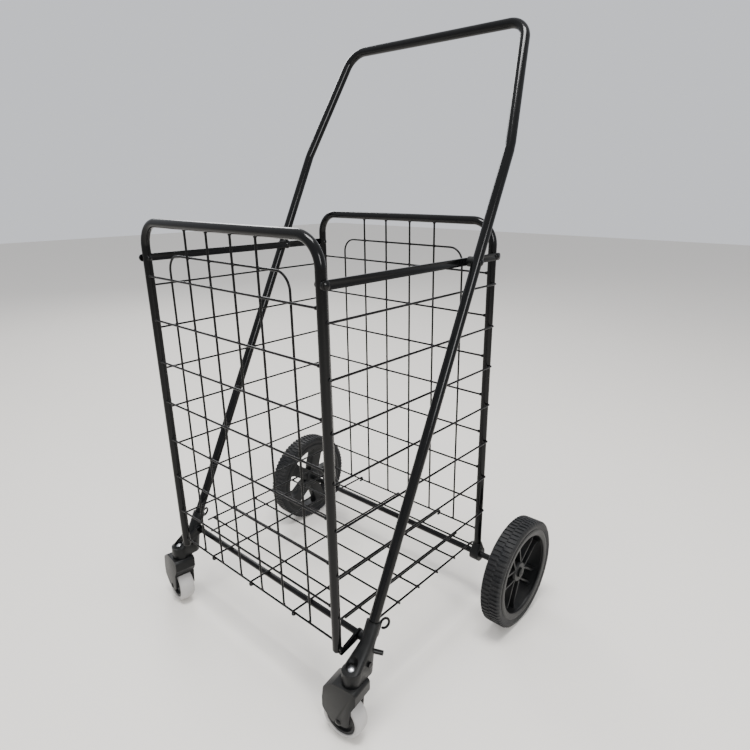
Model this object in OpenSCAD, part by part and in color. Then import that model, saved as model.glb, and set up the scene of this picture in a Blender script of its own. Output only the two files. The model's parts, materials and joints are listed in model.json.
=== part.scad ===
// Folding four-wheeled shopping trolley: a tubular front and rear frame joined by hinged wire sides,
// an inclined handle frame on two swivel casters, and two large wheels on a rear axle.
// +X is the width, -Y the front with the casters, +Z up. The floor is z = 0.

/* [Basket] */
// Centre-to-centre distance of the two uprights of a frame
frame_w = 400; // [380:1:420]
// Length of a side wire between the front and the rear frame
depth = 387.4; // [370:0.1:400]
// Height of the frames' top tube centre
frame_top = 733; // [720:1:750]
// Forward lean of both frames, in degrees
frame_lean = 1.2; // [0:0.1:2]
// Outer diameter of the frame tubes
tube_d = 14; // [13:0.5:15]
// Wall of every tube
tube_wall = 1.2; // [1:0.1:1.5]
// Diameter of the basket wires
wire_d = 3.5; // [3:0.1:3.8]
// Number of wire levels up the basket
levels = 7; // [5:1:7]
// Height of the top level of panel wires
level_top = 649.5; // [640:0.5:655]
// Distance between two levels
level_pitch = 71.9; // [68:0.1:72]
// How far a side wire sits below its panel wire
side_drop = 17; // [12:1:20]
// Height of the bottom wire of each panel
bottom_wire_z = 155; // [150:1:160]

/* [Handle] */
// Outer diameter of the handle tube
handle_d = 16; // [15:0.5:18]
// Backward lean of the handle frame, in degrees
handle_lean = 25.7; // [24:0.1:27]
// Half-width of the handle frame at its lower end
handle_low_w = 229.5; // [226:0.5:232]
// Half-width of the handle frame where it starts to narrow
handle_kink_w = 223.5; // [222:0.5:228]
// Half-width of the handle frame at the grip bar
handle_top_w = 187.5; // [170:0.5:200]
// Length of the lower, nearly straight part of a leg
handle_low_l = 794; // [780:1:810]
// Length of the narrowing part of a leg
handle_top_l = 212; // [190:1:230]

/* [Side bars] */
// Height of the side bars' pivots along the frames
bar_z = 677.5; // [670:0.5:685]
// Thickness of a side bar
bar_t = 3; // [2:0.5:3]
// Height of a side bar
bar_h = 12; // [10:0.5:14]

/* [Wheels] */
// Radius of a rear wheel
wheel_r = 102; // [95:1:105]
// Width of a rear wheel
wheel_w = 38; // [30:1:40]
// Number of spokes in a rear wheel
spokes = 5; // [4:1:6]
// Radius of a caster wheel
caster_r = 34; // [32:1:36]
// Width of a caster wheel
caster_w = 28; // [24:1:30]
// Distance from the swivel axis back to the caster's wheel centre
caster_trail = 13; // [10:1:16]
// Way the left caster points, in degrees
caster_yaw_left = 262; // [0:1:360]
// Way the right caster points, in degrees
caster_yaw_right = 278; // [0:1:360]

/* [Hidden] */
$fn = 64;

// Radii and small gaps
tube_r = tube_d / 2;
wire_r = wire_d / 2;
leg_r = handle_d / 2;
run = 0.06;              // radial clearance of a running fit
weld = 0.1;              // bite of a welded wire
half_w = frame_w / 2;
frame_corner = 38;       // bend radius of the frame tubes
loop_half = 140;         // half-width of a panel's wire loop
loop_top = 686;          // top of a panel's wire loop
loop_corner = 25;
upright_x = [28, 82.5];  // wires between the loop's sides, each way from the middle

// Feet of the frames at floor level, before their lean
caster_y = 7;            // swivel axis
fork_w = caster_w + 10;  // width of a caster's hood
fork_reach = 42;         // back of the hood from the swivel axis
front_reach = caster_y + fork_w / 2 * sin(caster_yaw_right) - fork_reach * cos(caster_yaw_right);
rear_y = depth + 10.5;
front_y = 10.5;
axle_y = rear_y - 2.1;
mid_y = (front_reach + axle_y + wheel_r) / 2;

// Side wires and side bars
side_x = half_w + tube_r + 0.2;          // first free plane outside the tubes
side_bend = 2.2;
side_wire_x = side_x + side_bend;
bar_x = side_x + 0.1;
bar_end = 9;                             // bar past each pivot
bar_rivet_r = 2.5;
bar_pivot_y = depth + front_y - bar_z * sin(frame_lean);
handle_rivet_r = 3;

// Floor grid
floor_half = 216.5;
floor_hooks = [-107, 0, 107];
floor_long_x = 178;
hook_r = wire_d + 0.35;                  // centreline radius of a hook around a bottom wire
floor_z = bottom_wire_z + hook_r;
floor_cross_y = [81, 131, 182, 234, 287, 343];
front_bottom_y = front_y - bottom_wire_z * sin(frame_lean);

// Handle frame: a plane through this point, leaning back
leg_foot_y = 32.4;
leg_foot_z = 128;
leg_taper = atan((handle_low_w - handle_kink_w) / handle_low_l);
pivot_v = (bar_z - leg_foot_z) / cos(handle_lean);
pivot_leg_x = handle_low_w - pivot_v * tan(leg_taper);
pivot_y = leg_foot_y + pivot_v * sin(handle_lean);
cross_z = 151.5;
cross_y = leg_foot_y + (cross_z - leg_foot_z) * tan(handle_lean);
cross_r = 5;
rest_x = half_w + tube_r + 0.7;
rest_t = 3.4;
stud_z = 147;
stud_y = front_y - stud_z * sin(frame_lean);
stud_r = 3.5;

// Rear axle and wheels
axle_z = wheel_r;
axle_r = 4.5;
foot_w = 18;
wheel_x = 267;                           // inner face of a rear wheel
tyre_t = 15;
hub_r = 20;
hub_l = 26;
foot_r = 14;                             // axle boss of a rear foot
rear_foot_z = 116;                       // lower end of the rear tube

// Casters
boss_z = 124;                            // top of the swivel boss
boss_h = 22;
stem_r = 4;
caster_pin_r = 4;
core_r = caster_r - 8;
bolt_half = 13;                          // bracket bolt, under its heads
catch_pin_l = 16.5;

black_paint = [0.05, 0.05, 0.055];
black_wire = [0.07, 0.07, 0.075];
black_plastic = [0.09, 0.09, 0.095];
charcoal = [0.2, 0.21, 0.22];
light_grey = [0.72, 0.72, 0.7];
steel = [0.75, 0.75, 0.76];

// ---------- shared shapes ----------

// Moves the model so that its origin is under the middle of its outline
module placed() { translate([0, -mid_y, 0]) children(); }

// The leaning plane of the front or the rear frame: x across, z along the uprights
module frame_plane(y) { placed() translate([0, y, 0]) rotate([frame_lean, 0, 0]) children(); }

// The leaning plane of the handle frame: x across, z along the legs
module handle_plane() {
    placed() translate([0, leg_foot_y, leg_foot_z]) rotate([-handle_lean, 0, 0]) children();
}

// The axis of one handle leg, from its lower end
module leg_axis(side) {
    handle_plane() translate([side * handle_low_w, 0, 0]) rotate([0, -side * leg_taper, 0]) children();
}

// A round bar from a to b
module rod(a, b, d) {
    v = b - a;
    l = norm(v);
    translate(a) rotate([0, acos(v[2] / l), atan2(v[1], v[0])]) cylinder(h = l, d = d);
}

// A bar along x, centred on x, from x = a to x = b
module x_bar(a, b, r) { translate([min(a, b), 0, 0]) rotate([0, 90, 0]) cylinder(h = abs(b - a), r = r); }

function turn(p, i) =
    let (a = p[i] - p[i - 1], b = p[i + 1] - p[i], t = atan2(b[1], b[0]) - atan2(a[1], a[0]))
    t > 180 ? t - 360 : t < -180 ? t + 360 : t;
function tangent(p, r, i) = (i == 0 || i == len(p) - 1) ? 0 : r[i] * tan(abs(turn(p, i)) / 2);
function along(a, b, s) = a + (b - a) / norm(b - a) * s;

// A round bar bent along a flat outline p of corner points, with a bend radius at each corner.
// bead is how much wider a ball at each sloping end of a bend is.
module bent_bar(p, r, d, bead = 0) {
    for (i = [0:len(p) - 2]) {
        a = along(p[i], p[i + 1], tangent(p, r, i));
        b = along(p[i + 1], p[i], tangent(p, r, i + 1));
        rod([a[0], 0, a[1]], [b[0], 0, b[1]], d);
    }
    for (i = [1:len(p) - 2]) {
        v = p[i] - p[i - 1];
        t = turn(p, i);
        a = along(p[i], p[i - 1], tangent(p, r, i));
        left = [-v[1], v[0]] / norm(v) * sign(t);
        c = a + left * r[i];
        start = atan2(-left[1], -left[0]);
        rotate([90, 0, 0]) translate([c[0], c[1], 0]) rotate([0, 0, start]) mirror([0, t > 0 ? 0 : 1, 0])
            rotate_extrude(angle = abs(t)) translate([r[i], 0]) circle(d = d);
        if (bead > 0) for (end = [-1, 1]) {
            u = p[i + end] - p[i];
            b = along(p[i], p[i + end], tangent(p, r, i));
            if (u[0] * u[1] != 0) translate([b[0], 0, b[1]]) sphere(d = d + bead);
        }
    }
}

// A hollow tube along the same kind of outline
module bent_tube(p, r, d, bead = 0) {
    difference() {
        bent_bar(p, r, d, bead);
        bent_bar(p, r, d - 2 * tube_wall, bead);
    }
}

// The outline of an upside-down U, from foot to foot
function arch(half, foot, top) = [[-half, foot], [-half, top], [half, top], [half, foot]];
function arch_bends(r) = [0, r, r, 0];

// A domed rivet head on a face at the origin, facing +z
module rivet_head(r, h) {
    rotate_extrude() intersection() {
        translate([0, (h * h - r * r) / (2 * h)]) circle(r = (r * r + h * h) / (2 * h), $fn = 96);
        square([r, h]);
    }
}

// ---------- front and rear frames ----------

module frame_tube(foot) {
    difference() {
        bent_tube(arch(half_w, foot, frame_top), arch_bends(frame_corner), tube_d);
        for (side = [-1, 1], k = [0:levels - 1])
            translate([0, 0, level_top - side_drop - k * level_pitch])
                x_bar(side * half_w, side * (half_w + tube_d), wire_r + run);
        for (side = [-1, 1])
            translate([0, 0, bar_z]) x_bar(side * (half_w - tube_d), side * (half_w + tube_d), bar_rivet_r);
    }
}

module panel_uprights() {
    for (side = [-1, 1], x = upright_x)
        rod([side * x, 0, bottom_wire_z + wire_r - weld], [side * x, 0, frame_top - tube_r + weld], wire_d);
}

module panel_loop() {
    translate([0, wire_d - weld, 0])
        bent_bar(arch(loop_half, bottom_wire_z - wire_r, loop_top), arch_bends(loop_corner), wire_d);
}

module cross_bar(z, y) {
    translate([0, y, z]) x_bar(-half_w + tube_r - weld, half_w - tube_r + weld, wire_r);
}

module panel_crosswires(face) {
    for (k = [0:levels - 1]) cross_bar(level_top - k * level_pitch, face * (wire_d - weld));
}

module panel_bar_rivets() {
    for (side = [-1, 1]) translate([0, 0, bar_z]) {
        x_bar(side * (half_w - tube_r), side * (bar_x + bar_t + 0.3), bar_rivet_r);
        translate([side * (bar_x + bar_t + 0.3), 0, 0]) rotate([0, side * 90, 0]) rivet_head(5.5, 2.4);
        translate([side * (half_w - tube_r), 0, 0]) rotate([0, -side * 90, 0]) rivet_head(4.5, 2.2);
    }
}

module rear_tube() { color(black_paint) frame_plane(rear_y) frame_tube(rear_foot_z); }
module rear_uprights() { color(black_wire) frame_plane(rear_y) panel_uprights(); }
module rear_loop() { color(black_wire) frame_plane(rear_y) panel_loop(); }
module rear_crosswires() { color(black_wire) frame_plane(rear_y) panel_crosswires(-1); }
module rear_bottom_wire() { color(black_wire) frame_plane(rear_y) cross_bar(bottom_wire_z, 0); }
module rear_bar_rivets() { color(black_paint) frame_plane(rear_y) panel_bar_rivets(); }

module front_tube() {
    color(black_paint) frame_plane(front_y) difference() {
        frame_tube(142);
        for (side = [-1, 1]) translate([0, 0, stud_z]) x_bar(side * half_w, side * (half_w + tube_d), 2.5);
    }
}
module front_uprights() { color(black_wire) frame_plane(front_y) panel_uprights(); }
module front_loop() { color(black_wire) frame_plane(front_y) panel_loop(); }
module front_crosswires() { color(black_wire) frame_plane(front_y) panel_crosswires(-1); }
module front_bottom_wire() { color(black_wire) frame_plane(front_y) cross_bar(bottom_wire_z, 0); }
module front_bar_rivets() { color(black_paint) frame_plane(front_y) panel_bar_rivets(); }

// Plugs that close the lower ends of the front tube
module front_plugs() {
    color(black_plastic) frame_plane(front_y) for (side = [-1, 1]) translate([side * half_w, 0, 139.5]) {
        cylinder(h = 2.5, r1 = tube_r - 1, r2 = tube_r);
        cylinder(h = 4.5, r = tube_r - tube_wall);
    }
}

// Headed studs that rest in the notches of the handle frame's rests
module front_studs() {
    color(black_paint) frame_plane(front_y) for (side = [-1, 1]) translate([0, 0, stud_z]) {
        x_bar(side * (half_w + 2), side * (half_w + tube_r + 0.3), 2.5);
        x_bar(side * (half_w + tube_r), side * (rest_x + rest_t + 0.3), stud_r);
        x_bar(side * (rest_x + rest_t + 0.3), side * (rest_x + rest_t + 1.8), 5);
    }
}

// ---------- rear feet, axle and wheels ----------

// Drop-shaped foot pressed onto a rear upright, carrying the axle
module rear_foot(side) {
    color(black_plastic) difference() {
        union() {
            placed() translate([side * half_w, axle_y, axle_z]) x_bar(-foot_w / 2, foot_w / 2, foot_r);
            hull() {
                placed() translate([side * half_w, axle_y, axle_z]) x_bar(-8.5, 8.5, foot_r - 0.5, $fn = 32);
                frame_plane(rear_y) translate([side * half_w, 0, rear_foot_z + 9])
                    cylinder(h = 1, r = tube_r + 1.5, $fn = 32);
            }
        }
        placed() translate([side * half_w, axle_y, axle_z]) x_bar(-20, 20, axle_r);
        frame_plane(rear_y) translate([side * half_w, 0, rear_foot_z]) cylinder(h = 20, r = tube_r);
    }
}
module rear_foot_left() { rear_foot(-1); }
module rear_foot_right() { rear_foot(1); }

// Everything centred on the axle
module on_axle() { placed() translate([0, axle_y, axle_z]) children(); }

module tube_on_axle(a, b, r) {
    difference() {
        x_bar(a, b, r);
        x_bar(a - 1, b + 1, axle_r);
    }
}

axle_half = wheel_x + hub_l + 3;
module axle_spacer() { color(black_paint) on_axle() tube_on_axle(-half_w + foot_w / 2, half_w - foot_w / 2, 6); }
module rear_axle() { color(steel) on_axle() x_bar(-axle_half, axle_half, axle_r); }
module axle_washers() {
    color(black_plastic) on_axle() for (side = [-1, 1])
        mirror([side > 0 ? 0 : 1, 0, 0]) tube_on_axle(half_w + foot_w / 2, wheel_x - 0.5, 5.8);
}
module axle_caps() {
    color(charcoal) on_axle() for (side = [-1, 1]) mirror([side > 0 ? 0 : 1, 0, 0]) {
        tube_on_axle(wheel_x + hub_l + 0.5, axle_half, 9);
        translate([axle_half, 0, 0]) rotate([0, 90, 0]) rivet_head(9, 2);
    }
}

// Tyre with cross grooves around its tread
module wheel_tyre(side) {
    groove_count = 42;
    color(charcoal) on_axle() mirror([side > 0 ? 0 : 1, 0, 0]) translate([wheel_x, 0, 0]) rotate([0, 90, 0])
        difference() {
            rotate_extrude() translate([wheel_r - tyre_t, 0]) polygon([
                [0, 0], [tyre_t - 4, 0], [tyre_t, 4], [tyre_t, wheel_w - 4], [tyre_t - 4, wheel_w], [0, wheel_w]]);
            for (a = [0:groove_count - 1], half = [0, 1])
                rotate([0, 0, (a + half / 2) * 360 / groove_count])
                    translate([wheel_r - 2, -1.6, half * (wheel_w / 2 + 2) - 1]) cube([5, 3.2, wheel_w / 2 - 1]);
        }
}
module wheel_tyre_left() { wheel_tyre(-1); }
module wheel_tyre_right() { wheel_tyre(1); }

// Spoked plastic rim with its hub
module wheel_rim(side) {
    rim_r = wheel_r - tyre_t;
    color(charcoal) on_axle() mirror([side > 0 ? 0 : 1, 0, 0]) translate([wheel_x, 0, 0]) rotate([0, 90, 0])
        difference() {
            union() {
                rotate_extrude() translate([rim_r - 13, 1]) square([13, wheel_w - 2]);
                cylinder(h = hub_l, r = hub_r);
                for (i = [0:spokes - 1]) rotate([0, 0, i * 360 / spokes]) {
                    translate([hub_r - 3, -13, 6]) cube([rim_r - hub_r - 5, 26, 4]);
                    translate([hub_r - 3, -13, 6]) cube([rim_r - hub_r - 5, 4, hub_l - 8]);
                    translate([hub_r - 3, 9, 6]) cube([rim_r - hub_r - 5, 4, hub_l - 8]);
                }
            }
            translate([0, 0, -1]) cylinder(h = wheel_w + 2, r = axle_r + run);
        }
}
module wheel_rim_left() { wheel_rim(-1); }
module wheel_rim_right() { wheel_rim(1); }

// ---------- side bars and side wires ----------

// Flat bar with rounded ends, drilled for the two frame rivets and the handle rivet
module side_bar(side) {
    color(black_paint) placed() translate([side > 0 ? bar_x : -bar_x - bar_t, 0, bar_z * cos(frame_lean)])
        rotate([90, 0, 90]) linear_extrude(bar_t) difference() {
            hull() for (y = [bar_pivot_y - depth - bar_end + bar_h / 2, bar_pivot_y + bar_end - bar_h / 2])
                translate([y, 0]) circle(d = bar_h);
            for (y = [bar_pivot_y - depth, bar_pivot_y]) translate([y, 0]) circle(r = bar_rivet_r + run);
            translate([pivot_y, 0]) circle(r = handle_rivet_r + run);
        }
}
module side_bar_left() { side_bar(-1); }
module side_bar_right() { side_bar(1); }

// Two side wires of one level, their ends bent in through the frame tubes
module side_wires(k) {
    s = level_top - side_drop - (k - 1) * level_pitch;
    inner = half_w + 1;
    color(black_wire) placed() translate([0, front_y - s * sin(frame_lean), s * cos(frame_lean)])
        for (side = [0, 1]) mirror([side, 0, 0]) rotate([-90, 0, 0])
            bent_bar([[inner, 0], [side_wire_x, 0], [side_wire_x, depth], [inner, depth]],
                     arch_bends(side_bend), wire_d);
}
module side_wires_1() { side_wires(1); }
module side_wires_2() { side_wires(2); }
module side_wires_3() { side_wires(3); }
module side_wires_4() { side_wires(4); }
module side_wires_5() { side_wires(5); }
module side_wires_6() { side_wires(6); }
module side_wires_7() { side_wires(7); }

// ---------- floor grid ----------

// Part ring that hooks over a bottom wire; it opens towards the basket
module hook() {
    rotate([90, 0, 90]) rotate([0, 0, 90]) rotate_extrude(angle = 240) translate([hook_r, 0]) circle(d = wire_d);
}

module floor_hook_wires() {
    color(black_wire) placed() for (x = floor_hooks) translate([x, front_bottom_y, bottom_wire_z]) {
        translate([0, 0, hook_r]) rotate([-90, 0, 0]) cylinder(h = depth, d = wire_d);
        hook();
        translate([0, depth, 0]) mirror([0, 1, 0]) hook();
    }
}
module floor_long_wires() {
    color(black_wire) placed() for (side = [-1, 1]) {
        rod([side * floor_long_x, 48, floor_z], [side * floor_long_x, 352, floor_z], wire_d);
        rod([side * floor_half, 66, floor_z], [side * floor_half, 347, floor_z], wire_d);
    }
}
module floor_crosswires() {
    color(black_wire) placed() for (y = floor_cross_y) translate([0, y, floor_z - wire_d + weld])
        x_bar(-floor_half - wire_r, floor_half + wire_r, wire_r);
}

// ---------- handle frame ----------

module handle_tube() {
    top = handle_low_l + handle_top_l;
    p = [[0, top], [handle_top_w, top], [handle_kink_w, handle_low_l], [handle_low_w, 0]];
    color(black_paint) difference() {
        handle_plane() for (side = [0, 1]) mirror([side, 0, 0]) bent_tube(p, [0, 24, 80, 0], handle_d, 0.1);
        placed() for (side = [-1, 1]) translate([0, pivot_y, bar_z * cos(frame_lean)])
            x_bar(side * (pivot_leg_x - handle_d), side * (pivot_leg_x + handle_d), handle_rivet_r);
    }
}

module at_handle_pivot(side) {
    placed() translate([0, pivot_y, bar_z * cos(frame_lean)]) mirror([side > 0 ? 0 : 1, 0, 0]) children();
}

module handle_rivets() {
    color(black_paint) for (side = [-1, 1]) at_handle_pivot(side) {
        x_bar(bar_x - 0.6, pivot_leg_x + leg_r + 0.3, handle_rivet_r);
        translate([bar_x - 0.3, 0, 0]) rotate([0, -90, 0]) rivet_head(5.5, 2.2);
        translate([pivot_leg_x + leg_r, 0, 0]) rotate([0, 90, 0]) rivet_head(5.5, 2.4);
    }
}

// Bushes that hold the handle legs off the side bars
module handle_bushes() {
    color(black_plastic) for (side = [-1, 1]) difference() {
        at_handle_pivot(side) difference() {
            x_bar(bar_x + bar_t + 0.3, pivot_leg_x, 8);
            x_bar(bar_x, pivot_leg_x + 1, handle_rivet_r);
        }
        leg_axis(side) translate([0, 0, pivot_v - 40]) cylinder(h = 80, r = leg_r);
    }
}

module swivel_place(side) { placed() translate([side * handle_low_w, caster_y, 0]) children(); }

// Plastic bracket: a sleeve on the end of a leg, running into the boss of the caster's swivel
module bracket(side) {
    color(black_plastic) difference() {
        union() {
            leg_axis(side) translate([0, 0, -9]) cylinder(h = 63, r = leg_r + 3.2);
            swivel_place(side) translate([0, 0, boss_z - boss_h]) cylinder(h = boss_h, r = 15);
            hull() {
                swivel_place(side) translate([0, 0, boss_z - boss_h + 1]) cylinder(h = boss_h - 2, r = 14.5, $fn = 32);
                swivel_place(side) translate([0, 26, boss_z - boss_h + 1]) cylinder(h = boss_h - 4, r = 12.9, $fn = 32);
                leg_axis(side) translate([0, 0, -8]) cylinder(h = 32, r = leg_r + 2.6, $fn = 32);
            }
            placed() translate([0, cross_y, cross_z]) x_bar(side * (handle_low_w - 15), side * handle_low_w, cross_r + 2.5);
        }
        leg_axis(side) cylinder(h = 80, r = leg_r);
        swivel_place(side) translate([0, 0, boss_z - boss_h - 5]) cylinder(h = boss_h + 30, r = stem_r + run);
        swivel_place(side) translate([0, 0, boss_z]) cylinder(h = 20, r = 9);
        placed() translate([0, cross_y, cross_z]) x_bar(side * (handle_low_w - 20), side * (handle_low_w - 8), cross_r);
        at_bracket_bolt(side) x_bar(-30, 30, 2.5);
        for (end = [-1, 1]) at_bracket_bolt(side) x_bar(end * bolt_half, end * 30, 4.3);
        leg_axis(side) mirror([side > 0 ? 0 : 1, 0, 0]) catch_pin(30);
    }
}
module bracket_left() { bracket(-1); }
module bracket_right() { bracket(1); }

// Bolt through each sleeve and leg, below the cross tube
module at_bracket_bolt(side) { leg_axis(side) translate([0, 0, -4.5]) children(); }
module bracket_bolts() {
    color(black_paint) for (side = [-1, 1]) at_bracket_bolt(side) {
        x_bar(-bolt_half - 0.5, bolt_half + 0.5, 2.5);
        for (end = [-1, 1]) translate([end * bolt_half, 0, 0]) rotate([0, end * 90, 0]) cylinder(h = 3, r = 4);
    }
}

module cross_tube() {
    reach = handle_low_w - leg_r - 3.5;
    color(black_paint) placed() translate([0, cross_y, cross_z]) difference() {
        x_bar(-reach, reach, cross_r);
        x_bar(-reach - 1, reach + 1, cross_r - tube_wall);
    }
}

// Notched plates welded to the cross tube, on which the front frame's studs rest
module front_rests() {
    color(black_paint) placed() for (side = [-1, 1])
        translate([side > 0 ? rest_x : -rest_x - rest_t, 0, 0]) rotate([90, 0, 90]) linear_extrude(rest_t)
            difference() {
                hull() {
                    translate([cross_y, cross_z]) circle(r = cross_r + 3);
                    translate([stud_y, stud_z - 4.5]) circle(r = 4.5);
                }
                translate([cross_y, cross_z]) circle(r = cross_r);
                translate([stud_y, stud_z]) circle(r = stud_r + 0.4);
                translate([stud_y - 20, stud_z - stud_r / 2]) square([20 + stud_r + 0.8, 30]);
            }
}

// Pin out of the outer back of a bracket, square to its sleeve
module catch_pin(l) { rotate([0, 0, 45]) translate([leg_r + 2, 0, 12]) rotate([0, 90, 0]) cylinder(h = l, r = 3.8); }

// Wire eyes with a tail on the outer back of each bracket's sleeve, and the pin below each tail
module catch_rings() {
    color(black_wire) for (side = [-1, 1]) leg_axis(side) mirror([side > 0 ? 0 : 1, 0, 0]) {
        rotate([0, 0, 70]) translate([leg_r + 12.7, 0, 52]) {
            mirror([1, 0, 0]) rotate([90, 0, 0]) rotate_extrude(angle = 290) translate([7.5, 0]) circle(d = 4);
            translate([-7.5, 0, -20]) cylinder(h = 20, d = 4);
        }
        catch_pin(catch_pin_l);
    }
}

// ---------- casters ----------

// One caster's frame: swivel axis at the origin, wheel trailing towards -y
module caster_place(side) {
    swivel_place(side) rotate([0, 0, side > 0 ? caster_yaw_right : caster_yaw_left]) children();
}
module at_caster_wheel(side) { caster_place(side) translate([0, -caster_trail, caster_r]) children(); }

module caster_rivet(side) {
    color(steel) caster_place(side) {
        translate([0, 0, 84]) cylinder(h = boss_z + 0.3 - 84, r = stem_r);
        translate([0, 0, boss_z + 0.3]) rivet_head(7, 3.5);
    }
}

// Side outline of the hood, its wheel trailing towards +x
module fork_outline() {
    hull() {
        translate([-13, 95.7]) circle(r = 6);
        translate([-14, 83]) circle(r = 5);
        translate([-4, 72]) circle(r = 7);
        translate([20, 95.7]) circle(r = 6);
        translate([30, 84]) circle(r = 9.5);
    }
    hull() {
        translate([4, 42]) circle(r = 11);
        translate([19, 42]) circle(r = 12);
        translate([fork_reach - 10.5, 52]) circle(r = 10.5);
        translate([fork_reach - 10, 66]) circle(r = 10);
        translate([30, 84]) circle(r = 9.5);
        translate([1, 66]) circle(r = 10);
    }
}

// Hooded fork: two cheeks under a solid crown, open below and in front of the wheel
module caster_fork(side) {
    pocket_w = caster_w + 3;
    pocket_r = caster_r + 2.5;
    color(black_plastic) difference() {
        caster_place(side) translate([-fork_w / 2, 0, 0]) rotate([90, 0, 90])
            linear_extrude(fork_w) mirror([1, 0]) fork_outline();
        at_caster_wheel(side) x_bar(-pocket_w / 2, pocket_w / 2, pocket_r);
        at_caster_wheel(side) translate([-pocket_w / 2, -pocket_r, -2 * caster_r])
            cube([pocket_w, 2 * pocket_r, 2 * caster_r]);
        at_caster_wheel(side) x_bar(-40, 40, caster_pin_r);
        caster_place(side) translate([0, 0, 84]) cylinder(h = 60, r = stem_r);
    }
}

module caster_axle(side) {
    reach = fork_w / 2;
    color(black_paint) at_caster_wheel(side) {
        x_bar(-reach, reach, caster_pin_r);
        for (end = [-1, 1]) translate([end * reach, 0, 0]) rotate([0, end * 90, 0]) rivet_head(5.5, 2);
    }
}
module caster_tyre(side) {
    color(light_grey) at_caster_wheel(side) rotate([0, 90, 0]) rotate_extrude() difference() {
        hull() {
            translate([core_r, -caster_w / 2]) square([5, caster_w]);
            translate([caster_r - 1, -caster_w / 2 + 4]) square([1, caster_w - 8]);
        }
        translate([0, -caster_w]) square([core_r, 2 * caster_w]);
    }
}
module caster_hub(side) {
    color(charcoal) at_caster_wheel(side) rotate([0, 90, 0]) rotate_extrude() difference() {
        union() {
            translate([0, -caster_w / 2 + 2]) square([core_r, caster_w - 4]);
            translate([0, -caster_w / 2 - 0.8]) square([9, caster_w + 1.6]);
        }
        square([2 * (caster_pin_r + run), 3 * caster_w], center = true);
    }
}
module caster_rivet_left() { caster_rivet(-1); }
module caster_fork_left() { caster_fork(-1); }
module caster_axle_left() { caster_axle(-1); }
module caster_tyre_left() { caster_tyre(-1); }
module caster_hub_left() { caster_hub(-1); }
module caster_rivet_right() { caster_rivet(1); }
module caster_fork_right() { caster_fork(1); }
module caster_axle_right() { caster_axle(1); }
module caster_tyre_right() { caster_tyre(1); }
module caster_hub_right() { caster_hub(1); }

rear_tube();
rear_uprights();
rear_loop();
rear_crosswires();
rear_bottom_wire();
rear_bar_rivets();
rear_foot_left();
rear_foot_right();
axle_spacer();
rear_axle();
axle_washers();
axle_caps();
side_bar_left();
side_bar_right();
side_wires_1();
side_wires_2();
side_wires_3();
side_wires_4();
side_wires_5();
side_wires_6();
side_wires_7();
front_tube();
front_uprights();
front_loop();
front_crosswires();
front_bottom_wire();
front_bar_rivets();
front_plugs();
front_studs();
floor_hook_wires();
floor_long_wires();
floor_crosswires();
handle_tube();
handle_rivets();
handle_bushes();
bracket_left();
bracket_right();
bracket_bolts();
cross_tube();
front_rests();
catch_rings();
caster_rivet_left();
caster_fork_left();
caster_axle_left();
caster_tyre_left();
caster_hub_left();
caster_rivet_right();
caster_fork_right();
caster_axle_right();
caster_tyre_right();
caster_hub_right();
wheel_tyre_left();
wheel_rim_left();
wheel_tyre_right();
wheel_rim_right();
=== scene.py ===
# %% [markdown]
# # A folding wire trolley
# The trolley is two welded wire panels in bent tube frames, joined by hinged wires and two flat bars.
# A long handle frame carries two swivel casters, and an axle carries two big wheels.
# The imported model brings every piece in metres, at rest. The lesson gives those pieces their finishes
# and builds finer surfaces where the eye lingers: tubes, welds, tyres, rims, hubs and casters.

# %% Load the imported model
import json
from math import acos, cos, degrees, pi, radians, sin, tan

import bmesh
import bpy
import numpy as np
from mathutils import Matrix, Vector


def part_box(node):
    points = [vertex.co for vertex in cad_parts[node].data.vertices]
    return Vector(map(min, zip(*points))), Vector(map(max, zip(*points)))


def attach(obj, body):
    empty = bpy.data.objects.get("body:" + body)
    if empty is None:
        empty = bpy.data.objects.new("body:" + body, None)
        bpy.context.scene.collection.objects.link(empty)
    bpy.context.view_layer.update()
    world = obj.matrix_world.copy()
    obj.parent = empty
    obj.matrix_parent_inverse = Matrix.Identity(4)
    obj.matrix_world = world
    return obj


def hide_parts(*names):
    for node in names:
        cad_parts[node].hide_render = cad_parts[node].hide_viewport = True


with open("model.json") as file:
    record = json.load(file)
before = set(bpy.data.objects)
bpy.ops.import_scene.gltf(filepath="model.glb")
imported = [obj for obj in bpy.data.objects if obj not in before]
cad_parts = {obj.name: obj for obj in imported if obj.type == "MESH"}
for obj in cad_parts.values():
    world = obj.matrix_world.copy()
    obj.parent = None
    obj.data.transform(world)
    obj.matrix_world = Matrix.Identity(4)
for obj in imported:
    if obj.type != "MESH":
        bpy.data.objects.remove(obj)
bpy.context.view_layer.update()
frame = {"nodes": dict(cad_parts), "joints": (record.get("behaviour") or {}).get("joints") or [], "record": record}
print("pieces in the model:", len(frame["nodes"]))

# %% [markdown]
# ## Points on the trolley
# Every wire and tube of a panel lies in one plane that leans a little forward. It is easiest to say
# where something is by its distance across, its height up the panel from the bottom wire, and how far
# it stands out. The bottom wire's own box gives the plane's place, so nothing is typed twice.

# %% Panel coordinates
MM = 0.001
LEAN = radians(1.2)                      # both panels lean forward
UP = np.array([0, -sin(LEAN), cos(LEAN)])
OUT = np.array([0, cos(LEAN), sin(LEAN)])
ACROSS = np.array([1.0, 0, 0])


def middle(node):
    """The centre of a node's box."""
    low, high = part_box(node)
    return (np.array(low) + np.array(high)) / 2


def panel_points(panel, across, up, out=0.0):
    """Bottom wire's centre + across * X + up * the panel's slope + out * its normal, all in millimetres."""
    across, up, out = (np.asarray(v, float)[..., None] * MM for v in np.broadcast_arrays(across, up, out))
    return middle(f"{panel}_bottom_wire") + across * ACROSS + up * UP + out * OUT


print("front bottom wire", middle("front_bottom_wire").round(4), "rear", middle("rear_bottom_wire").round(4))

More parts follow.
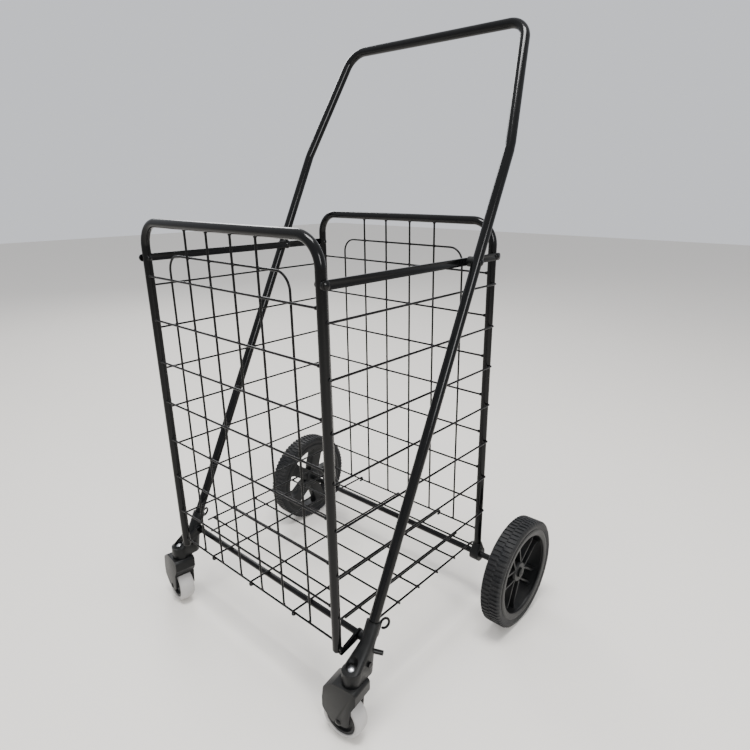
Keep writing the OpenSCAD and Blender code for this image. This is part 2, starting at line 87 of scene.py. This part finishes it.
# %% [markdown]
# ## Grids of points become surfaces
# A surface with two parameters is a grid of points. Neighbouring points make four-sided faces, and a
# grid that runs round, as on a tube, joins its last row to its first. The corner numbers follow from
# row and column by arithmetic on whole arrays, so no loop over vertices is needed.

# %% From grid to mesh
def grid_faces(rows, columns, round_rows, round_columns):
    """Face (i, j) has corners i*columns+j, the next column, the next row and column, and the next row."""
    i = np.arange(rows if round_rows else rows - 1)[:, None]
    j = np.arange(columns if round_columns else columns - 1)[None, :]
    ni, nj = (i + 1) % rows, (j + 1) % columns
    return np.stack([i * columns + j, i * columns + nj, ni * columns + nj, ni * columns + j], -1).reshape(-1, 4)


def new_piece(name, grids, body, finish, sharp=35):
    """One object from (points, round_rows, round_columns) grids: doubles merged, faces turned outwards."""
    points, faces, first = [], [], 0
    for grid, round_rows, round_columns in grids:
        rows, columns = grid.shape[:2]
        points.append(grid.reshape(-1, 3))
        faces.append(grid_faces(rows, columns, round_rows, round_columns) + first)
        first += rows * columns
    mesh = bpy.data.meshes.new(name)
    mesh.from_pydata(np.vstack(points), [], np.vstack(faces))
    clean = bmesh.new()
    clean.from_mesh(mesh)
    bmesh.ops.remove_doubles(clean, verts=clean.verts, dist=2e-6)
    bmesh.ops.dissolve_degenerate(clean, edges=clean.edges, dist=1e-7)
    bmesh.ops.recalc_face_normals(clean, faces=clean.faces)
    clean.to_mesh(mesh)
    clean.free()
    mesh.shade_smooth()
    mesh.set_sharp_from_angle(angle=radians(sharp))
    piece = bpy.data.objects.new(name, mesh)
    bpy.context.scene.collection.objects.link(piece)
    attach(piece, body)
    dress(piece, finish)
    return piece


# %% [markdown]
# ## Finishes
# Each finish is a procedural material. Two effects come back in several of them: a fine surface grain,
# and dust that settles on faces that look up. They are shader groups with named sockets, so one recipe
# serves paint, plastic and rubber with different numbers.

# %% A shader group for grain and one for settled dust
def new_group(name, inputs, outputs):
    """An empty shader group with named value sockets, and its own input and output nodes."""
    group = bpy.data.node_groups.new(name, "ShaderNodeTree")
    for label, value in inputs:
        group.interface.new_socket(label, in_out="INPUT", socket_type="NodeSocketFloat").default_value = value
    for label in outputs:
        group.interface.new_socket(label, in_out="OUTPUT", socket_type="NodeSocketFloat")
    return group, group.nodes.new("NodeGroupInput"), group.nodes.new("NodeGroupOutput")


def wire_up(tree, source, output, target, socket):
    """Joins one node's output to another's input."""
    tree.links.new(source.outputs[output], target.inputs[socket])


def math_node(tree, operation, a, b, clamp=False):
    """A Math node; a and b are numbers or (node, output) pairs."""
    node = tree.nodes.new("ShaderNodeMath")
    node.operation = operation
    node.use_clamp = clamp
    for i, value in enumerate((a, b)):
        if isinstance(value, tuple):
            wire_up(tree, value[0], value[1], node, i)
        else:
            node.inputs[i].default_value = value
    return node


def noise_node(tree, scale, detail=2.0, roughness=0.5):
    """Noise on Object coordinates. scale is a number per metre, or an (input node, output) pair."""
    place = tree.nodes.new("ShaderNodeTexCoord")
    noise = tree.nodes.new("ShaderNodeTexNoise")
    noise.inputs["Detail"].default_value = detail
    noise.inputs["Roughness"].default_value = roughness
    wire_up(tree, place, "Object", noise, "Vector")
    if isinstance(scale, tuple):
        wire_up(tree, scale[0], scale[1], noise, "Scale")
    else:
        noise.inputs["Scale"].default_value = scale
    return noise


grain_group, g_in, g_out = new_group("Surface grain", [("Scale", 900.0), ("Mottle Scale", 40.0)],
                                     ["Height", "Mottle"])
fine = noise_node(grain_group, (g_in, "Scale"), 3.0, 0.6)
broad = noise_node(grain_group, (g_in, "Mottle Scale"), 4.0, 0.55)
wire_up(grain_group, fine, "Fac", g_out, "Height")
wire_up(grain_group, broad, "Fac", g_out, "Mottle")

dust_group, d_in, d_out = new_group("Settled dust", [("Amount", 0.3), ("Patch Scale", 30.0)], ["Mask"])
facing = dust_group.nodes.new("ShaderNodeNewGeometry")
split = dust_group.nodes.new("ShaderNodeSeparateXYZ")
wire_up(dust_group, facing, "Normal", split, "Vector")
upward = math_node(dust_group, "MULTIPLY_ADD", (split, "Z"), 0.8, clamp=True)
upward.inputs[2].default_value = 0.15
patches = noise_node(dust_group, (d_in, "Patch Scale"), 6.0, 0.65)
patchy = math_node(dust_group, "MULTIPLY_ADD", (patches, "Fac"), 3.0, clamp=True)
patchy.inputs[2].default_value = -1.1
both = math_node(dust_group, "MULTIPLY", (upward, 0), (patchy, 0))
amount = math_node(dust_group, "MULTIPLY", (both, 0), (d_in, "Amount"), clamp=True)
wire_up(dust_group, amount, 0, d_out, "Mask")
print("shader groups:", [g.name for g in bpy.data.node_groups])

# %% [markdown]
# A maker's table of finishes then says, for each one, its colour, how glossy it is, how strong its
# grain is and how much dust clings to it. Powder-coated tube is smooth and deep black with a faint
# orange peel, the wire is a little duller, and the moulded plastics and the foam tyres are grained.
# Grain sizes are given as waves per metre, so a larger number is a finer grain.

# %% Build the finishes
def finish(name, colour, rough, rough_change, grain, bump, dust, metallic=0.0, mottle=0.25, shine=0.5):
    """A Principled material: colour and roughness vary with the mottle and the dust, bump with the grain.
    rough_change is the spread of roughness, and shine the strength of the clear reflection."""
    material = bpy.data.materials.new(name)
    material.use_nodes = True
    tree = material.node_tree
    shader = tree.nodes["Principled BSDF"]
    shader.inputs["Metallic"].default_value = metallic
    shader.inputs["Specular IOR Level"].default_value = shine
    texture = tree.nodes.new("ShaderNodeGroup")
    texture.node_tree = grain_group
    texture.inputs["Scale"].default_value = grain
    texture.inputs["Mottle Scale"].default_value = 34.0
    film = tree.nodes.new("ShaderNodeGroup")
    film.node_tree = dust_group
    film.inputs["Amount"].default_value = dust
    film.inputs["Patch Scale"].default_value = 26.0

    shades = tree.nodes.new("ShaderNodeMix")
    shades.data_type = "RGBA"
    dark, light = [c * (1 - mottle) for c in colour], [min(c * (1 + mottle), 1) for c in colour]
    shades.inputs["A"].default_value = (*dark, 1)
    shades.inputs["B"].default_value = (*light, 1)
    wire_up(tree, texture, "Mottle", shades, "Factor")
    dusty = tree.nodes.new("ShaderNodeMix")
    dusty.data_type = "RGBA"
    dusty.inputs["B"].default_value = (0.34, 0.32, 0.29, 1)
    wire_up(tree, shades, "Result", dusty, "A")
    wire_up(tree, film, "Mask", dusty, "Factor")
    wire_up(tree, dusty, "Result", shader, "Base Color")

    gloss = math_node(tree, "MULTIPLY_ADD", (texture, "Mottle"), rough_change)
    gloss.inputs[2].default_value = rough - rough_change / 2
    duller = math_node(tree, "MULTIPLY_ADD", (film, "Mask"), 0.5, clamp=True)
    wire_up(tree, gloss, 0, duller, 2)
    wire_up(tree, duller, 0, shader, "Roughness")

    relief = tree.nodes.new("ShaderNodeBump")
    relief.inputs["Strength"].default_value = bump
    relief.inputs["Distance"].default_value = 0.0004
    wire_up(tree, texture, "Height", relief, "Height")
    wire_up(tree, relief, "Normal", shader, "Normal")
    return material


FINISHES = {
    "black_paint": finish("glossy black powder coat", (0.002, 0.0021, 0.0023), rough=0.15, rough_change=0.05,
                          grain=420, bump=0.08, dust=0.012, shine=0.2),
    "black_wire": finish("satin black wire coat", (0.0022, 0.0023, 0.0024), rough=0.26, rough_change=0.08,
                         grain=700, bump=0.10, dust=0.015, shine=0.18),
    "zinc_steel": finish("zinc plated steel", (0.62, 0.63, 0.65), rough=0.32, rough_change=0.20,
                         grain=1500, bump=0.12, dust=0.05, metallic=1.0, mottle=0.12),
    "black_plastic": finish("moulded black plastic", (0.0032, 0.0036, 0.0038), rough=0.38, rough_change=0.10,
                            grain=1600, bump=0.22, dust=0.03, shine=0.2),
    "charcoal_plastic": finish("moulded charcoal plastic", (0.0045, 0.005, 0.0055), rough=0.40,
                               rough_change=0.10, grain=1600, bump=0.25, dust=0.04, shine=0.2),
    "dark_tyre": finish("charcoal foam tyre", (0.0055, 0.006, 0.007), rough=0.55, rough_change=0.12,
                        grain=1900, bump=0.40, dust=0.08, mottle=0.3, shine=0.22),
    "grey_tyre": finish("light grey soft tread", (0.36, 0.35, 0.34), rough=0.55, rough_change=0.15,
                        grain=1700, bump=0.30, dust=0.12, mottle=0.1),
}
SLOT_OF = {s["node"]: s["material_slot"] for s in frame["record"]["subparts"]}


def dress(piece, slot):
    """Gives a piece the finish for one of the record's slots."""
    piece.data.materials.clear()
    piece.data.materials.append(FINISHES[slot])


for node, piece in frame["nodes"].items():
    for place in piece.material_slots:
        place.material = FINISHES[SLOT_OF[node]]
print("finishes:", sorted(FINISHES))

# %% [markdown]
# ## Camera
# The camera stands off the right front corner, a little lower than the handle, and looks down into the
# basket. A wide lens is used, because the trolley is tall and the eye is close. It is turned by giving
# the direction it looks in, which says more to a reader than three angles do.

# %% Camera
EYE = (0.69036, -0.70809, 0.78585)       # metres
LENS, SENSOR = 27.75, 36.0               # millimetres
camera_data = bpy.data.cameras.new("camera")
camera_data.sensor_width = SENSOR
camera_data.lens = LENS
camera = bpy.data.objects.new("camera", camera_data)
camera.location = EYE
looking = Vector((-0.626582, 0.715101, -0.309880))
camera.rotation_euler = looking.to_track_quat("-Z", "Y").to_euler()
bpy.context.scene.collection.objects.link(camera)
bpy.context.scene.camera = camera
print("camera looks down", round(90 - degrees(acos(-looking.z)), 1), "degrees")

# %% [markdown]
# ## Floor
# A plain pale floor shows the outline of the black tubes and takes their contact shadows.

# %% Floor
FLOOR_HALF = 9.0
corners = [(-FLOOR_HALF, -FLOOR_HALF, 0), (FLOOR_HALF, -FLOOR_HALF, 0),
           (FLOOR_HALF, FLOOR_HALF, 0), (-FLOOR_HALF, FLOOR_HALF, 0)]
floor_mesh = bpy.data.meshes.new("floor")
floor_mesh.from_pydata(corners, [], [(0, 1, 2, 3)])
floor = bpy.data.objects.new("floor", floor_mesh)
bpy.context.scene.collection.objects.link(floor)
pale = bpy.data.materials.new("pale floor")
pale.use_nodes = True
pale.node_tree.nodes["Principled BSDF"].inputs["Base Color"].default_value = (0.74, 0.71, 0.66, 1)
pale.node_tree.nodes["Principled BSDF"].inputs["Roughness"].default_value = 0.6
floor_mesh.materials.append(pale)
print("floor:", 2 * FLOOR_HALF, "m square")

# %% [markdown]
# ## Light
# A bright even room keeps the shadows soft. Big lamps overhead and at the side draw long thin
# highlights down the glossy tubes, as ceiling lamps and a window do.

# %% Lights
world = bpy.data.worlds.new("room")
world.use_nodes = True
world.node_tree.nodes["Background"].inputs["Color"].default_value = (0.93, 0.95, 1.0, 1)
world.node_tree.nodes["Background"].inputs["Strength"].default_value = 0.85
bpy.context.scene.world = world


def soft_light(name, place, target, width, height, power):
    """A rectangular lamp at place that faces target."""
    lamp = bpy.data.lights.new(name, "AREA")
    lamp.shape = "RECTANGLE"
    lamp.size, lamp.size_y, lamp.energy = width, height, power
    holder = bpy.data.objects.new(name, lamp)
    holder.location = place
    holder.rotation_euler = (Vector(target) - Vector(place)).to_track_quat("-Z", "Y").to_euler()
    bpy.context.scene.collection.objects.link(holder)
    return holder


soft_light("ceiling lamp", (0.3, -0.4, 3.0), (0, 0, 0.4), 1.3, 0.7, 110)
soft_light("window", (3.0, -1.2, 1.9), (0, 0, 0.5), 0.9, 1.5, 70)
soft_light("far fill", (-2.6, 1.4, 2.2), (0, 0, 0.5), 1.2, 1.2, 40)

# %% [markdown]
# ## Tubes
# The frames and the handle are bent from one length of tube each. The shape is a ring carried along a
# line that is straight between bends and a circular arc in them. A bent tube flattens slightly towards
# the middle of its bend, so the ring is squeezed a little there, which breaks up the highlight.

# %% A line with rounded corners
def bent_line(corners, radii, step=radians(3)):
    """Straight runs joined by arcs: each arc touches both runs, radius * tan(turn / 2) from the corner.
    Returns the flat points and, for each, how far into a bend it is, 0 at its ends and 1 in its middle."""
    corners = np.array(corners, float)
    points, depth = [corners[:1]], [np.zeros(1)]
    for i in range(1, len(corners) - 1):
        back, ahead = corners[i - 1] - corners[i], corners[i + 1] - corners[i]
        back, ahead = back / np.linalg.norm(back), ahead / np.linalg.norm(ahead)
        turn = pi - acos(np.clip(back @ ahead, -1, 1))
        reach = radii[i] * tan(turn / 2)
        centre = corners[i] + (back + ahead) / np.linalg.norm(back + ahead) * radii[i] / cos(turn / 2)
        start = corners[i] + back * reach - centre
        side_way = np.sign(start[1] * back[0] - start[0] * back[1])
        t = np.linspace(0, 1, max(int(turn / step), 6) + 1)
        angle = t * turn * side_way
        arc = np.stack([start[0] * np.cos(angle) - start[1] * np.sin(angle),
                        start[0] * np.sin(angle) + start[1] * np.cos(angle)], -1)
        points.append(centre + arc)
        depth.append(np.sin(pi * t))
    points.append(corners[-1:])
    depth.append(np.zeros(1))
    return np.vstack(points), np.concatenate(depth)


STRAIGHT = 30                            # a longer step than this is a straight run


def tube_grid(line, depth, place, normal, radius, sides=40, squeeze=0.05):
    """A ring round each point: radius * cos(a) across the line in its plane and radius * sin(a) along the
    plane's normal. The first part shrinks by squeeze in mid bend; rings of no size close both ends.
    At either end of a straight run the ring stands square to the run, and in a bend it halves the turn."""
    steps = np.diff(line, axis=0)
    lengths = np.linalg.norm(steps, axis=1)
    before, after = np.vstack([steps[:1], steps]), np.vstack([steps, steps[-1:]])
    before, after = (v / np.linalg.norm(v, axis=1, keepdims=True) for v in (before, after))
    along = before + after
    ends_run = np.concatenate([[0], lengths]) > STRAIGHT
    along[ends_run] = before[ends_run]
    starts_run = np.concatenate([lengths, [0]]) > STRAIGHT
    along[starts_run] = after[starts_run]
    along /= np.linalg.norm(along, axis=1, keepdims=True)
    sideways = np.stack([-along[:, 1], along[:, 0]], -1)
    wide = radius * (1 - squeeze * depth)
    line = np.vstack([line[:1], line, line[-1:]])
    sideways = np.vstack([sideways[:1], sideways, sideways[-1:]])
    wide = np.concatenate([[0], wide, [0]])
    high = np.concatenate([[0], np.full(len(line) - 2, radius), [0]])
    a = np.linspace(0, 2 * pi, sides, endpoint=False)
    flat = line[:, None, :] + (wide[:, None] * np.cos(a))[..., None] * sideways[:, None, :]
    return place(flat[..., 0], flat[..., 1]) + (high[:, None] * np.sin(a) * MM)[..., None] * normal


# %% The two panel frames
HALF_W, TUBE_R, FRAME_BEND, FRAME_HIGH = 200, 7, 38, 578
for panel, foot in (("front", -13), ("rear", -39)):
    line, depth = bent_line([(-HALF_W, foot), (-HALF_W, FRAME_HIGH), (HALF_W, FRAME_HIGH), (HALF_W, foot)],
                            [0, FRAME_BEND, FRAME_BEND, 0])
    grid = tube_grid(line, depth, lambda x, z: panel_points(panel, x, z), OUT, TUBE_R)
    tube = new_piece(f"{panel}_frame_tube", [(grid, False, True)], f"{panel}_frame", "black_paint")
    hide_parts(f"{panel}_tube")
    print(tube.name, len(tube.data.polygons), "faces")

# %% [markdown]
# ## Handle
# The handle is one tube as well, in its own plane that leans back. Each leg runs nearly straight up to
# a wide, gentle bend, narrows, and turns through a tight bend into the grip bar. The top bar's place
# comes from the handle's box in the model.

# %% The handle
HANDLE_LEAN, HANDLE_R, HANDLE_TOP = radians(25.7), 8, 1006
LEG_BEND, GRIP_BEND = 80, 36
HANDLE_UP = np.array([0, sin(HANDLE_LEAN), cos(HANDLE_LEAN)])
HANDLE_OUT = np.array([0, cos(HANDLE_LEAN), -sin(HANDLE_LEAN)])
_, handle_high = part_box("handle_tube")
handle_top = np.array([0, handle_high[1] - HANDLE_R * MM, handle_high[2] - HANDLE_R * MM])


def handle_points(across, up):
    """Top bar's centre + across * X, and up the sloping plane from the legs' lower end, in millimetres."""
    return handle_top + across[..., None] * MM * ACROSS + (up[..., None] - HANDLE_TOP) * MM * HANDLE_UP


legs = [(229.5, 0), (223.5, 794), (187.5, HANDLE_TOP)]
line, depth = bent_line([(-x, v) for x, v in legs] + [(x, v) for x, v in reversed(legs)],
                        [0, LEG_BEND, GRIP_BEND, GRIP_BEND, LEG_BEND, 0])
grid = tube_grid(line, depth, handle_points, HANDLE_OUT, HANDLE_R, 48, 0.06)
handle = new_piece("handle_frame_tube", [(grid, False, True)], "handle_frame", "black_paint")
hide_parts("handle_tube")
print(handle.name, len(handle.data.polygons), "faces")

# %% [markdown]
# ## Welds
# Wherever a cross wire lies on an upright, the two were pressed together and spot welded, which leaves
# a small lump. So do the cross wires' ends on the tube, the uprights' tips, and the loop where it meets
# the wires. A lump is a flattened ball, a grid of a few dozen faces made at every crossing point.

# %% Small balls at many places
def lumps(centres, size, rings=5, sides=8):
    """A ball, size * (sin u cos v, sin u sin v, cos u), at each centre; u runs from pole to pole."""
    u = np.linspace(0, pi, rings + 1)[:, None]
    v = np.linspace(0, 2 * pi, sides, endpoint=False)[None, :]
    ball = np.stack([np.sin(u) * np.cos(v), np.sin(u) * np.sin(v), np.cos(u) + 0 * v], -1)
    ball = ball * np.asarray(size) * MM
    return [(ball + c, False, True) for c in np.reshape(centres, (-1, 3))]


UPRIGHTS = np.array([-82.5, -28, 28, 82.5])
LEVELS = 494.5 - 71.9 * np.arange(7)
TUBE_SIDE, UPRIGHT_TIPS = 192.6, [2.0, 570.8]
LOOP_HALF, LOOP_TOP = 140, 531
LAYER = 1.7                              # from one layer of wires to where it meets the next
for panel in ("front", "rear"):
    x, z = np.meshgrid(UPRIGHTS, LEVELS)
    crossings = panel_points(panel, x, z, -LAYER)
    x, z = np.meshgrid([-TUBE_SIDE, TUBE_SIDE], np.append(LEVELS, 0))
    ends = panel_points(panel, x, z, np.where(z > 0, -3.2, 0))
    x, z = np.meshgrid(UPRIGHTS, UPRIGHT_TIPS)
    tips = panel_points(panel, x, z)
    loop = np.vstack([panel_points(panel, UPRIGHTS, LOOP_TOP, LAYER),
                      panel_points(panel, [-LOOP_HALF, LOOP_HALF], 0, LAYER)])
    grids = lumps(crossings, (2.7, 2.0, 2.7)) + lumps(ends, (3.2, 2.9, 2.9)) + lumps(tips, (2.8, 2.6, 2.6))
    grids += lumps(loop, (2.7, 2.0, 2.7))
    welds = new_piece(f"{panel}_panel_welds", grids, f"{panel}_frame", "black_wire")
    print(welds.name, len(grids), "welds")

# %% [markdown]
# The floor grid is welded in the same way, six cross wires under seven that run front to back. The
# first cross wire's place comes from its box, and the others follow at their own distances from it.

# %% Welds of the floor grid
WIRE_R = 1.75
floor_low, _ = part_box("floor_crosswires")
row_steps = np.array([0, 50, 101, 153, 206, 262])
rows = floor_low[1] + (WIRE_R + row_steps) * MM
columns = np.array([-214.5, -178, -107, 0, 107, 178, 214.5]) * MM
x, y = np.meshgrid(columns, rows)
floor_welds = np.stack([x, y, np.full_like(x, middle("floor_long_wires")[2] - LAYER * MM)], -1)
grids = lumps(floor_welds, (2.7, 2.7, 2.0))
welds = new_piece("floor_grid_welds", grids, "floor_grid", "black_wire")
print(welds.name, len(grids), "welds")

# %% [markdown]
# ## Turned parts
# Tyres, rims, hubs and caps are round about an axle. A closed outline of radius and place along the
# axle, carried round, gives them all. Moulded plastic has no sharp edges, so each corner of the outline
# is first replaced by a small arc.

# %% Rounded outlines and turned surfaces
def rounded(outline, radius, steps=4):
    """Each corner becomes a quadratic curve between points up to radius from it along its two sides."""
    p = np.array(outline, float)
    back, ahead = np.roll(p, 1, axis=0) - p, np.roll(p, -1, axis=0) - p
    lb, la = (np.linalg.norm(v, axis=1, keepdims=True) for v in (back, ahead))
    r = np.minimum(radius, 0.45 * np.minimum(lb, la))
    a, b = p + back / lb * r, p + ahead / la * r
    t = np.linspace(0, 1, steps + 1)[None, :, None]
    return ((1 - t) ** 2 * a[:, None] + 2 * t * (1 - t) * p[:, None] + t**2 * b[:, None]).reshape(-1, 2)


def turned(outline, centre, axis, sides=96):
    """Centre + place * axis + radius * (cos a * e + sin a * f), with e and f square to the axis."""
    outline = np.asarray(outline, float) * MM
    axis = np.asarray(axis, float) / np.linalg.norm(axis)
    e = np.array([0, 0, 1.0])
    f = np.cross(axis, e)
    a = np.linspace(0, 2 * pi, sides, endpoint=False)[:, None, None]
    r, s = outline[None, :, 0, None], outline[None, :, 1, None]
    return centre + s * axis + r * (np.cos(a) * e + np.sin(a) * f)


# %% [markdown]
# ## Rear wheels
# The tyre is closed foam with two rows of blocks, set half a block apart, as if pressed in a two-part
# mould. The blocks are a height added to the radius: a wave round the wheel with its tops and bottoms
# cut flat, shifted between the rows. The tyre's box gives the wheel's place and which way is out.

# %% Tyre with two rows of blocks
WHEEL_R, WHEEL_W, HUB_L, TYRE_T = 102, 38, 26, 15
BLOCKS, SAMPLES = 72, 12                 # blocks in a row, and points round each block
BLOCK_HIGH, ROW_POINTS = 2.0, 40


def soft_step(x, low, high):
    """0 below low, 1 above high, and 3t^2 - 2t^3 between."""
    t = np.clip((x - low) / (high - low), 0, 1)
    return t * t * (3 - 2 * t)


def tyre_grid(centre, outward):
    """Radius (with the blocks' height) and place along the axle, round the wheel and round the section."""
    tread = np.linspace(3.2, WHEEL_W - 3.2, ROW_POINTS)
    base = WHEEL_R - BLOCK_HIGH - 0.3 + 0.3 * np.cos((tread - WHEEL_W / 2) / 15)
    wall = np.array([(WHEEL_R - 4.4, 0.9), (WHEEL_R - 7, 0.25), (WHEEL_R - 10, 0.5), (WHEEL_R - 12.5, 1.3),
                     (WHEEL_R - TYRE_T + 0.4, 1.9), (WHEEL_R - TYRE_T - 0.4, 2.4)])
    other = wall[::-1] * [1, -1] + [0, WHEEL_W]
    r0 = np.concatenate([wall[::-1, 0], base, other[::-1, 0]])
    s = np.concatenate([wall[::-1, 1], tread, other[::-1, 1]])
    on_tread = np.concatenate([np.zeros(len(wall)), np.ones(ROW_POINTS), np.zeros(len(wall))])
    a = np.linspace(0, 2 * pi, BLOCKS * SAMPLES, endpoint=False)[:, None]
    row = soft_step(s, WHEEL_W / 2 - 0.5, WHEEL_W / 2 + 0.5)
    left = soft_step(np.cos(BLOCKS * a), -0.42, -0.1)
    right = soft_step(np.cos(BLOCKS * a + pi), -0.42, -0.1)
    groove = 1 - 0.55 * np.exp(-(((s - WHEEL_W / 2) / 1.1) ** 2))
    height = (left * (1 - row) + right * row) * groove * on_tread * BLOCK_HIGH
    r = np.minimum(r0 + height, WHEEL_R) * MM
    e, f = np.array([0, 0, 1.0]), np.cross(outward, [0, 0, 1.0])
    return centre + (s * MM)[None, :, None] * outward + r[..., None] * (
        np.cos(a)[..., None] * e + np.sin(a)[..., None] * f)


# %% [markdown]
# The rim is one moulding: a deep ring, a short hub and five channel-shaped spokes that widen where they
# join the ring. Each spoke is a closed channel outline carried outwards. The three overlap a little and
# are kept as separate closed surfaces in one piece.

# %% Rim, spokes and hub
SPOKES, SPOKE_TURN, SPOKE_START, SPOKE_IN_RING = 5, 0.3, 16, 10


def spoke_grid(centre, outward, angle):
    """A closed channel section, web and two flanges, carried out from hub to ring and flared at the ring."""
    half, deep, wall, low = 13.5, HUB_L - 6, 4.0, 4.0
    section = rounded([(-half, low), (half, low), (half, low + deep), (half - wall, low + deep),
                       (half - wall, low + 4.2), (wall - half, low + 4.2), (wall - half, low + deep),
                       (-half, low + deep)], 0.9, 3)
    t = np.linspace(0, 1, 13)
    reach = SPOKE_START + t * (WHEEL_R - TYRE_T - SPOKE_IN_RING - SPOKE_START)
    flare = 1 - 0.12 * (1 - soft_step(t, 0, 0.3)) + 0.4 * soft_step(t, 0.72, 1)
    reach, flare = np.concatenate([reach[:1], reach, reach[-1:]]), np.concatenate([[0.0], flare, [0.0]])
    place = np.where(flare[:, None] > 0, section[None, :, 1], low + 1.0)
    e = cos(angle) * np.array([0, 0, 1.0]) + sin(angle) * np.cross(outward, [0, 0, 1.0])
    f = np.cross(outward, e)
    across = flare[:, None] * section[None, :, 0]
    return centre + MM * (place[..., None] * outward + reach[:, None, None] * e + across[..., None] * f)


def wheel(side, name):
    """Tyre, and rim with its hub and spokes, for one side (-1 left, 1 right)."""
    outward = np.array([side, 0.0, 0.0])
    low, high = (np.array(v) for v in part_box(f"wheel_tyre_{name}"))
    centre = (low + high) / 2
    centre[0] = low[0] if side > 0 else high[0]
    tyre = new_piece(f"rear_tyre_{name}", [(tyre_grid(centre, outward), True, True)],
                     f"rear_wheel_{name}", "dark_tyre", 50)
    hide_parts(f"wheel_tyre_{name}")
    inner = WHEEL_R - TYRE_T
    ring = rounded([(inner, 1.6), (inner, WHEEL_W - 1.6), (inner - 4, WHEEL_W - 0.6),
                    (inner - 12, WHEEL_W - 1.4), (inner - 13, WHEEL_W - 4), (inner - 11, WHEEL_W - 7),
                    (inner - 11, 7), (inner - 13, 4), (inner - 12, 1.4), (inner - 4, 0.6)], 1.1)
    hub = rounded([(4.6, 0.2), (15, 0.2), (20, 3), (20, HUB_L - 4), (17.5, HUB_L - 0.6),
                   (10.4, HUB_L - 0.6), (10.4, HUB_L - 0.05), (4.6, HUB_L - 0.05)], 0.9)
    grids = [(turned(ring, centre, outward, 144), True, True), (turned(hub, centre, outward, 72), True, True)]
    angles = [2 * pi * i / SPOKES + SPOKE_TURN for i in range(SPOKES)]
    grids += [(spoke_grid(centre, outward, angle), False, True) for angle in angles]
    rim = new_piece(f"rear_rim_{name}", grids, f"rear_wheel_{name}", "charcoal_plastic", 40)
    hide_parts(f"wheel_rim_{name}")
    return tyre, rim


for side_sign, side_name in ((-1, "left"), (1, "right")):
    for piece in wheel(side_sign, side_name):
        print(piece.name, len(piece.data.polygons), "faces")

# %% [markdown]
# ## Caster wheels
# Each small wheel has a soft light tread over a plastic centre with a raised hub and a ring-shaped
# hollow on each side, so that the wall of the centre is even. Both are turned outlines, and they lie on
# the caster's own axle, whose direction comes from its joint. Half of each outline is written, and the
# other half is its mirror image.

# %% Tread and centre
HALF_TREAD = [(26, -13.5), (30, -13.9), (32.9, -11), (34, -6)]
TREAD = rounded(HALF_TREAD + [(r, -s) for r, s in reversed(HALF_TREAD)], 1.6)
HALF_CORE = [(4.1, -14.7), (8.6, -14.7), (9.4, -9), (20.5, -7.5), (21.5, -12), (26, -12)]
CORE = rounded(HALF_CORE + [(r, -s) for r, s in reversed(HALF_CORE)], 0.7)
joint_of = {j["name"]: j for j in frame["joints"]}
for side_name in ("left", "right"):
    axis = np.array(joint_of[f"caster_spin_{side_name}"]["axis"], float)
    low, high = (np.array(v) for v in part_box(f"caster_tyre_{side_name}"))
    centre = (low + high) / 2
    tread_piece = new_piece(f"caster_tread_{side_name}", [(turned(TREAD, centre, axis, 96), True, True)],
                            f"caster_wheel_{side_name}", "grey_tyre", 50)
    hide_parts(f"caster_tyre_{side_name}")
    core_piece = new_piece(f"caster_core_{side_name}", [(turned(CORE, centre, axis, 72), True, True)],
                           f"caster_wheel_{side_name}", "charcoal_plastic", 40)
    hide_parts(f"caster_hub_{side_name}")
    print(tread_piece.name, core_piece.name)

# %% [markdown]
# ## Moulded and pressed pieces
# The brackets, feet and caster hoods are plastic mouldings, and the side bars and rests are pressed
# steel. Their shapes in the model are right but every edge is knife sharp. A copy is merged, its flat
# faces are joined into single ones, and a Bevel modifier rounds the edges, as a mould or a press would.

# %% Rounded copies
def softened(node, name, body, slot, width, segments=3, angle=32):
    """A merged copy of a node: flat neighbours joined, then a bevel of that width, in millimetres."""
    mesh = frame["nodes"][node].data.copy()
    mesh.name = name
    merged = bmesh.new()
    merged.from_mesh(mesh)
    bmesh.ops.remove_doubles(merged, verts=merged.verts, dist=1e-5)
    bmesh.ops.dissolve_limit(merged, angle_limit=radians(1.5), verts=merged.verts, edges=merged.edges)
    merged.to_mesh(mesh)
    merged.free()
    mesh.shade_smooth()
    piece = bpy.data.objects.new(name, mesh)
    bpy.context.scene.collection.objects.link(piece)
    rounding = piece.modifiers.new("rounded edges", "BEVEL")
    rounding.width = width * MM
    rounding.segments = segments
    rounding.limit_method = "ANGLE"
    rounding.angle_limit = radians(angle)
    rounding.harden_normals = True
    rounding.use_clamp_overlap = True
    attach(piece, body)
    dress(piece, slot)
    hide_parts(node)
    return piece


for node, body, width in (
    ("bracket_left", "handle_frame", 1.5), ("bracket_right", "handle_frame", 1.5),
    ("rear_foot_left", "rear_frame", 1.0), ("rear_foot_right", "rear_frame", 1.0),
    ("caster_fork_left", "caster_left", 2.0), ("caster_fork_right", "caster_right", 2.0),
    ("side_bar_left", "side_bars", 0.5), ("side_bar_right", "side_bars", 0.5),
    ("front_rests", "handle_frame", 0.4),
):
    piece = softened(node, f"{node}_rounded", body, SLOT_OF[node], width)
    print(piece.name, len(piece.data.polygons), "faces before rounding")
